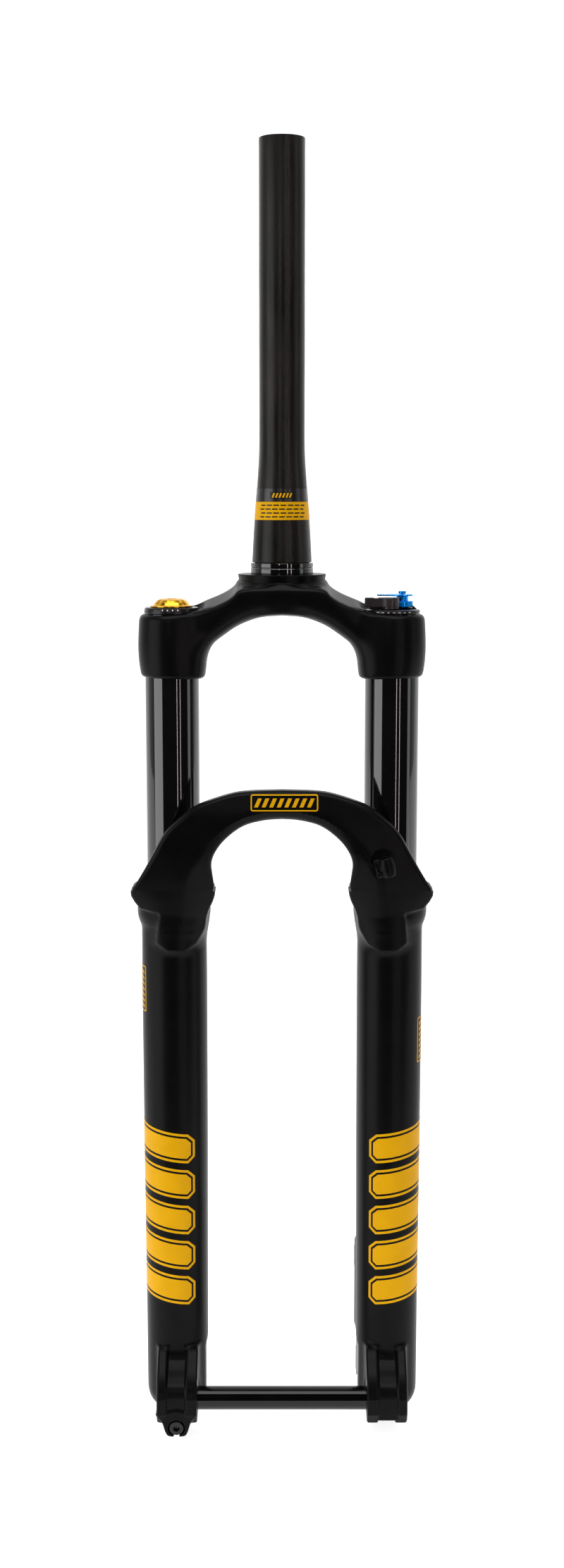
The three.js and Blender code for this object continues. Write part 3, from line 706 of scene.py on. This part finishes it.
FINISH = {
    "carbon": finish("carbon", (0.0040, 0.0036, 0.0028), (0.011, 0.0095, 0.0078), (0.20, 0.40),
                     grain=(260, 260, 24), patches=(90, 90, 16), bump=0.35, depth=0.0001,
                     specular_ior_level=0.2),
    "satin_black": finish("satin_black", (0.0016, 0.0016, 0.0017), (0.0026, 0.0026, 0.0027),
                          (0.28, 0.37), grain=(1400, 1400, 1400), bump=0.16,
                          specular_ior_level=0.085),
    "gloss_black": finish("gloss_black", (0.0012, 0.0012, 0.0013), (0.0022, 0.0020, 0.0021),
                          (0.04, 0.07), grain=(150, 150, 2600), bump=0.02,
                          specular_ior_level=0.9),
    "axle_black": finish("axle_black", (0.0012, 0.0012, 0.0013), (0.0022, 0.0020, 0.0021),
                         (0.05, 0.09), grain=(2600, 150, 150), bump=0.02,
                         specular_ior_level=0.3),
    "lever_black": finish("lever_black", (0.016, 0.012, 0.013), (0.028, 0.022, 0.023), (0.24, 0.34),
                          grain=(4000, 300, 300), bump=0.05, specular_ior_level=0.4),
    "black_anodised": finish("black_anodised", (0.005, 0.005, 0.0055), (0.010, 0.009, 0.010),
                             (0.20, 0.30), grain=(300, 300, 4000), bump=0.05,
                             specular_ior_level=0.3),
    "gold_anodised": finish("gold_anodised", (0.72, 0.36, 0.020), (0.86, 0.47, 0.035),
                            (0.14, 0.24), grain=(400, 400, 5000), metallic=1.0),
    "blue_anodised": finish("blue_anodised", (0.010, 0.27, 0.78), (0.018, 0.36, 0.95),
                            (0.18, 0.28), grain=(400, 400, 5000), metallic=1.0),
    "bare_aluminium": finish("bare_aluminium", (0.56, 0.57, 0.58), (0.68, 0.69, 0.70),
                             (0.22, 0.34), grain=(400, 400, 5000), metallic=1.0),
    "steel": finish("steel", (0.30, 0.31, 0.33), (0.42, 0.43, 0.45), (0.22, 0.36),
                    grain=(900, 900, 5000), metallic=1.0),
    "rubber": finish("rubber", (0.010, 0.010, 0.010), (0.020, 0.020, 0.020), (0.62, 0.78),
                     grain=(2500, 2500, 2500), bump=0.2),
    "foam": finish("foam", (0.035, 0.030, 0.026), (0.075, 0.066, 0.058), (0.85, 0.98),
                   grain=(1500, 1500, 1500), bump=0.9, depth=0.0003),
    "black_plastic": finish("black_plastic", (0.011, 0.011, 0.012), (0.018, 0.018, 0.019),
                            (0.34, 0.48), grain=(1800, 1800, 1800), bump=0.2),
    "bush": finish("bush", (0.19, 0.16, 0.12), (0.30, 0.26, 0.21), (0.42, 0.56),
                   grain=(2000, 2000, 2000), bump=0.15),
    "yellow_film": finish("yellow_film", (0.69, 0.355, 0.0006), (0.74, 0.38, 0.001), (0.38, 0.46),
                          grain=(1400, 1400, 1400), bump=0.06, specular_ior_level=0.08),
    "white_print": finish("white_print", (0.70, 0.70, 0.69), (0.80, 0.80, 0.79), (0.40, 0.50),
                          grain=(1400, 1400, 1400), bump=0.06),
    "black_film": finish("black_film", (0.004, 0.004, 0.0045), (0.007, 0.007, 0.0075),
                         (0.20, 0.28), grain=(1400, 1400, 1400), bump=0.05),
}
for part in frame["record"]["subparts"]:
    shape = frame["nodes"][part["node"]].data
    shape.materials.clear()
    shape.materials.append(FINISH[part["material_slot"]])

# ------------------------------------------------------------------ the pieces

AIR_AXIS, DAMPER_AXIS = (-LEG_X, LEG_Y), (LEG_X, LEG_Y)

field_piece("crown_shell", crown_field, ((-93, -36, -67), (93, 30, 1)), 0.75,
            "crown_unit", "satin_black", "crown")
field_piece("lower_shell", casting_field, ((-97, -58, -560), (97, 29, -131)), 0.8,
            "lowers", "satin_black", "lower_casting")
field_piece("damper_cap", damper_cap_field, upright_box(DAMPER_AXIS, 18, -45, -19), 0.3,
            "crown_unit", "black_anodised", "damper_top_cap")
field_piece("lever_blade", lever_field, upright_box(LEVER_HUB, 6, -29, -13, arm=17), 0.25,
            "climb_lever", "gloss_black", "climb_lever", look="lever_black")
field_piece("knurled_knob", knob_field, upright_box(KNOB_HUB, 7, -21, -13), 0.2,
            "low_speed_knob", "blue_anodised", "low_speed_knob")
field_piece("lever_plate", plate_field, upright_box(KNOB_HUB, 7, -29, -12, arm=17), 0.22,
            "high_speed_lever", "blue_anodised", "high_speed_lever")
field_piece("plate_screw", screw_field, upright_box(KNOB_HUB, 3, -20, -10), 0.14,
            "high_speed_lever", "blue_anodised", "lever_screw")
field_piece("gold_cap", gold_field, upright_box(AIR_AXIS, 14, -21, -14), 0.25,
            "valve_cap", "gold_anodised", "air_valve_cap")
field_piece("pinch_screw", bolt_field,
            ((-PINCH_X - 5, -57, PINCH_Z - 5), (-PINCH_X + 5, -35, PINCH_Z + 5)), 0.2,
            "lowers", "black_anodised", "pinch_bolt")
field_piece("through_axle", axle_field,
            ((-81, AXLE_Y - 8, AXLE_Z - 8), (81, AXLE_Y + 8, AXLE_Z + 8)), 0.5,
            "axle", "gloss_black", "axle", look="axle_black")
field_piece("hose_clip", guide_field,
            ((GUIDE[0] - 9, GUIDE[1] - 7, GUIDE[2] - 9), (GUIDE[0] + 9, GUIDE[1] + 3, GUIDE[2] + 9)),
            0.25, "lowers", "satin_black", "hose_guide")
field_piece("clip_screw", guide_screw_field,
            ((GUIDE[0] - 8, GUIDE[1] - 4, GUIDE[2] - 7), (GUIDE[0], GUIDE[1] + 2, GUIDE[2])),
            0.15, "lowers", "black_anodised", "hose_guide_screw")
field_piece("stud_nut", foot_nut_field, upright_box(AIR_AXIS, 8, -560, -554), 0.25,
            "lowers", "steel", "foot_nut")
field_piece("rebound_dial", rebound_field, upright_box(DAMPER_AXIS, 9, -563, -499), 0.25,
            "rebound_knob", "black_anodised", "rebound_knob")

STEERER_TAPER = curve([(18.9, 7.3), (17.45, 33), (15.8, 55), (14.6, 72), (14.3, 84)], 10)
turned_piece("steerer_sleeve", [(12, -24), (17, -24), (17, 7.3)] + STEERER_TAPER
             + [(14.3, 175), (14.3, steerer_top), (12, steerer_top)],
             (0, 0), "crown_unit", "carbon", "steerer_tube", edge=0.6)
turned_piece("race_seat", [(17.3, -0.7), (RACE_SEAT_R, -0.7), (RACE_SEAT_R, 3.4), (19.65, 3.7),
                           (19.65, 4.2), (RACE_SEAT_R, 4.5), (RACE_SEAT_R, 7), (17.3, 7)],
             (0, 0), "crown_unit", "gloss_black", "crown_race_seat")

for side, axis in (("air", AIR_AXIS), ("damper", DAMPER_AXIS)):
    turned_piece(f"tube_{side}", [(15.2, damper_low[2]), (STANCHION_R, damper_low[2]),
                                  (STANCHION_R, SOCKET_TOP), (15.2, SOCKET_TOP)],
                 axis, "crown_unit", "gloss_black", f"stanchion_{side}")
    turned_piece(f"wiper_{side}", [(17.3, -208.7), (22.5, -208.7), (22.5, -199.2), (21.9, -198.4),
                                   (20.4, COLLAR_TOP), (19.2, COLLAR_TOP), (18.3, -196.4),
                                   (17.3, -196.4)],
                 axis, "lowers", "rubber", f"wiper_seal_{side}")

turned_piece("air_cap_ring", [(2.9, -42), (14.9, -42), (14.9, -24), (CAP_R, -24), (CAP_R, -22.3),
                              (16.65, -20.4), (2.9, -20.4)],
             AIR_AXIS, "crown_unit", "black_anodised", "air_top_cap")
turned_piece("bolt_head", [(1.7, -557.9), (6.4, -557.9), (8, -556.6), (8, -554.9), (3.7, -554.9),
                           (3.7, -522), (1.7, -522)],
             DAMPER_AXIS, "lowers", "steel", "foot_bolt")

# ------------------------------------------------------------------ printed films


def grown(corners, by):
    """A convex outline, listed anticlockwise, with every edge moved out."""
    out = []
    for before, here, after in zip(corners[-1:] + corners[:-1], corners, corners[1:] + corners[:1]):
        a = Vector(here) - Vector(before)
        b = Vector(after) - Vector(here)
        m = Vector((a.y, -a.x)).normalized()
        n = Vector((b.y, -b.x)).normalized()
        out.append(tuple(Vector(here) + (m + n) * (by / (1 + m.dot(n)))))
    return out


def rounded_box(u, v, half_u, half_v, radius):
    """A rectangle with round corners, listed anticlockwise."""
    out = []
    for i, (su, sv) in enumerate([(1, 1), (-1, 1), (-1, -1), (1, -1)]):
        for t in np.linspace(0, math.pi / 2, 6) + i * math.pi / 2:
            out.append((u + su * (half_u - radius) + radius * math.cos(t),
                        v + sv * (half_v - radius) + radius * math.sin(t)))
    return out


def keyline(corners, gap, line):
    """The two outlines of a thin line that runs around a shape."""
    return [grown(corners, gap + line), grown(corners, gap)]


def resting(field, start, direction, lift):
    """Points moved along their directions until they stand that far off a field's surface."""
    p = start.copy()
    for _ in range(60):
        p += direction * (field(*p.T) - lift)[:, None]
    return p


LEG_WRAP_R = 21.0
FILM_LIFT = 0.02


def on_leg(leg_x):
    """Lays (distance outwards from the front, height) on a lower leg."""
    side = math.copysign(1, leg_x)

    def lay(u, v, lift):
        a = u / LEG_WRAP_R
        out = np.stack([side * np.sin(a), -np.cos(a), np.zeros_like(a)], 1)
        start = np.array([leg_x, LEG_Y, 0]) + out * 24 + np.stack([0 * v, 0 * v, v], 1)
        return resting(casting_field, start, -out, lift)
    return lay


def on_arch(u, v, lift):
    start = np.stack([u, np.full_like(u, -56), v], 1)
    return resting(casting_field, start, np.tile([0.0, 1.0, 0.0], (len(u), 1)), lift)


def on_ring(centre, radius):
    """Lays (distance around from the front, height) on a surface turned about an axis."""
    def lay(u, v, lift):
        r = radius(v) + lift
        return np.stack([centre[0] + r * np.sin(u / r), centre[1] - r * np.cos(u / r), v], 1)
    return lay


def film(name, outlines, lay, body, slot, step=1.5, thickness=0.09):
    """A thin film cut to flat outlines, with inner ones as holes, and laid on a surface."""
    flat = bpy.data.curves.new(name, "CURVE")
    flat.dimensions, flat.fill_mode = "2D", "BOTH"
    for corners in outlines:
        spline = flat.splines.new("POLY")
        spline.points.add(len(corners) - 1)
        for point, (u, v) in zip(spline.points, corners):
            point.co = (u, v, 0, 1)
        spline.use_cyclic_u = True
    drawn = bpy.data.objects.new(name, flat)
    mesh = bpy.data.meshes.new_from_object(drawn)
    bpy.data.objects.remove(drawn)
    bm = bmesh.new()
    bm.from_mesh(mesh)
    u = [c[0] for corners in outlines for c in corners]
    v = [c[1] for corners in outlines for c in corners]
    for normal, low, high in (((1, 0, 0), min(u), max(u)), ((0, 1, 0), min(v), max(v))):
        for at in np.arange(low + step, high, step):
            where = Vector(normal) * at
            bmesh.ops.bisect_plane(bm, geom=bm.verts[:] + bm.edges[:] + bm.faces[:],
                                   plane_co=where, plane_no=normal)
    bm.verts.ensure_lookup_table()
    spots = np.array([vert.co for vert in bm.verts])
    lower = lay(spots[:, 0], spots[:, 1], FILM_LIFT) * MM
    upper = lay(spots[:, 0], spots[:, 1], FILM_LIFT + thickness) * MM
    faces = [[vert.index for vert in f.verts] for f in bm.faces]
    rims = [[vert.index for vert in e.verts] for e in bm.edges if e.is_boundary]
    bm.free()
    n = len(spots)
    solid = faces + [[i + n for i in f[::-1]] for f in faces]
    solid += [[a, b, b + n, a + n] for a, b in rims]
    mesh = bpy.data.meshes.new(name)
    mesh.from_pydata(np.vstack([upper, lower]).tolist(), [], solid)
    bm = bmesh.new()
    bm.from_mesh(mesh)
    bmesh.ops.recalc_face_normals(bm, faces=bm.faces)
    bm.to_mesh(mesh)
    bm.free()
    place(mesh, body, FINISH[slot], slot)


def ticks(u, v, count, width, height, pitch, upright):
    """A row of slanted bars centred on a place, along u or, if upright, along v."""
    rows = []
    for i in range(count):
        at = (i - (count - 1) / 2) * pitch
        bar = [(at - width, -height), (at, -height), (at + width, height), (at, height)]
        rows.append([(u + b, v + a) if upright else (u + a, v + b) for a, b in bar])
    return rows


BARS_LOW, BAR_PITCH = -477.0, 24.2
BADGE_SIDE = 26.5
ARCH_BADGE = (1.5, -139.7)
LABEL_Z, BAND_Z = 39.6, 49.4

bars = []
for i in range(5):
    low = BARS_LOW + i * BAR_PITCH
    bar = [(-14, low + 5), (-9, low + 1), (37, low + 8), (37, low + 27.5), (-9, low + 20.5),
           (-14, low + 16)]
    bars += [grown(bar, -3.0)] + keyline(bar, -1.6, 1.6)
for side, leg_x in (("air", -LEG_X), ("damper", LEG_X)):
    film(f"leg_bars_{side}", bars, on_leg(leg_x), "lowers", "yellow_film")

for side, leg_x, height in (("air", -LEG_X, -265.0), ("damper", LEG_X, -299.0)):
    badge = rounded_box(BADGE_SIDE, height, 5.2, 15.0, 1.2)
    slants = ticks(BADGE_SIDE, height, 7, 1.7, 2.6, 3.7, True)
    film(f"side_badge_{side}", [badge, grown(badge, -0.7)] + slants, on_leg(leg_x),
         "lowers", "yellow_film", step=1.2)

badge = rounded_box(*ARCH_BADGE, 21.0, 5.2, 1.4)
slants = ticks(*ARCH_BADGE, 8, 2.4, 2.7, 4.7, False)
film("arch_badge", [badge, grown(badge, -0.8)] + slants, on_arch, "lowers", "yellow_film", step=1.2)

taper_z = [z for r, z in STEERER_TAPER]
taper_r = [r for r, z in STEERER_TAPER]
around_taper = on_ring((0, 0), lambda z: np.interp(z, taper_z, taper_r))
dashes = [rounded_box(4.6 * i + 0.9 * (row % 2), 35.9 + 2.4 * row, 1.9, 0.42, 0.3)
          for row in range(4) for i in range(-3, 4)]
film("steerer_label", [rounded_box(0, LABEL_Z, 30, 5.6, 0.5)] + dashes, around_taper,
     "crown_unit", "yellow_film")
window = rounded_box(0, BAND_Z - 0.2, 7.6, 2.1, 0.5)
film("steerer_band", [rounded_box(0, BAND_Z, 30, 3.9, 0.5), window], around_taper,
     "crown_unit", "black_film")
film("band_ticks", ticks(0, BAND_Z - 0.2, 6, 1.1, 1.4, 2.2, False), around_taper,
     "crown_unit", "yellow_film")

dots = [rounded_box(-4.8 + 3.2 * i, -21.45, 0.42, 0.42, 0.4) for i in range(4)]
film("cap_dots", dots, on_ring(AIR_AXIS, lambda z: CAP_R - (z + 22.3) * 0.342),
     "crown_unit", "white_print", step=0.4, thickness=0.05)
marks = [rounded_box(-10.5 + 3.5 * i, -22.9, 0.7, 0.16, 0.15) for i in range(7)]
film("cap_dashes", marks, on_ring(DAMPER_AXIS, lambda z: CAP_R + 0 * z),
     "crown_unit", "white_print", step=0.4, thickness=0.05)

# ------------------------------------------------------------------ floor, light and camera


STUDIO_R = 1.5
LIT_MIDDLE = Vector((0, 0, -0.15))


def strip(name, where, width, height, power, colour=(1, 1, 1)):
    """A soft rectangular light that faces the middle of the fork."""
    data = bpy.data.lights.new(name, "AREA")
    data.shape = "RECTANGLE"
    data.size, data.size_y = width, height
    data.energy = power
    data.color = colour
    lamp = bpy.data.objects.new(name, data)
    bpy.context.scene.collection.objects.link(lamp)
    lamp.location = where
    lamp.rotation_euler = (LIT_MIDDLE - Vector(where)).to_track_quat("-Z", "Y").to_euler()


def around(angle, height=-0.1):
    """A place around the fork, at an angle from the front in degrees towards +X."""
    a = math.radians(angle)
    return (STUDIO_R * math.sin(a), -STUDIO_R * math.cos(a), height)


strip("left_box", around(-61.5), 1.05, 1.7, 14)
strip("right_box", around(76), 0.35, 2.4, 3)
for angle in (20, 34):
    strip(f"thin_{angle}", around(angle), 0.04, 2.4, 2.8, (1.0, 0.86, 0.88))
strip("steerer_line", around(-10, 0.42), 0.05, 0.66, 1.0)
strip("top_box", (0, -0.5, 1.3), 1.6, 1.0, 18)

FLOOR_FRONT, FLOOR_BACK, FLOOR_HALF = -0.4, 1.6, 5.0
BEND_R, WALL_TOP = 0.8, 5.0
sweep = [(FLOOR_FRONT, 0.0), (FLOOR_BACK, 0.0)]
sweep += [(FLOOR_BACK + BEND_R * math.sin(a), BEND_R - BEND_R * math.cos(a))
          for a in np.linspace(0.15, math.pi / 2, 14)]
sweep += [(FLOOR_BACK + BEND_R, WALL_TOP)]
floor_z = cad_low[2] - 0.0006
backdrop = bpy.data.meshes.new("backdrop")
backdrop.from_pydata([(x, y, z + floor_z) for y, z in sweep for x in (-FLOOR_HALF, FLOOR_HALF)], [],
                     [(2 * i, 2 * i + 1, 2 * i + 3, 2 * i + 2) for i in range(len(sweep) - 1)])
backdrop.polygons.foreach_set("use_smooth", [True] * len(backdrop.polygons))
backdrop.materials.append(finish("pale_floor", 0.86, 0.90, (0.8, 0.9), grain=(3, 3, 3),
                                 patches=(1, 1, 1), bump=0.0, specular_ior_level=0.0,
                                 emission_color=(1, 1, 1, 1), emission_strength=0.75))
floor = bpy.data.objects.new("floor", backdrop)
bpy.context.scene.collection.objects.link(floor)


def studio_world():
    """A studio that is dark in front of the fork and pale behind it."""
    world = bpy.data.worlds.new("studio")
    world.use_nodes = True
    sky = world.node_tree
    direction = add(sky, "ShaderNodeTexCoord")
    axes = add(sky, "ShaderNodeSeparateXYZ")
    sky.links.new(direction.outputs["Generated"], axes.inputs["Vector"])
    spread = add(sky, "ShaderNodeMapRange", from_min=-0.3, from_max=0.9)
    sky.links.new(axes.outputs["Y"], spread.inputs["Value"])
    lit = ramp(sky, spread.outputs["Result"], [(0.0, 0.03), (1.0, 1.0)])
    # The dark side only shows in reflections: looked at directly, the studio is pale.
    seen = add(sky, "ShaderNodeLightPath")
    behind = add(sky, "ShaderNodeMix")
    behind.data_type = "RGBA"
    sky.links.new(seen.outputs["Is Camera Ray"], behind.inputs[0])
    sky.links.new(lit, behind.inputs[6])
    behind.inputs[7].default_value = (0.8, 0.8, 0.8, 1)
    sky.links.new(behind.outputs[2], sky.nodes["Background"].inputs["Color"])
    return world


bpy.context.scene.world = studio_world()
bpy.context.scene.view_settings.view_transform = "Standard"

lens = bpy.data.cameras.new("camera")
lens.lens = 43.17
lens.sensor_width = 36
lens.dof.use_dof = False
camera = bpy.data.objects.new("camera", lens)
bpy.context.scene.collection.objects.link(camera)
camera.location = (0, -1.2003, 0.0496)
camera.rotation_euler = Euler((math.radians(81.253), 0, 0))
bpy.context.scene.camera = camera
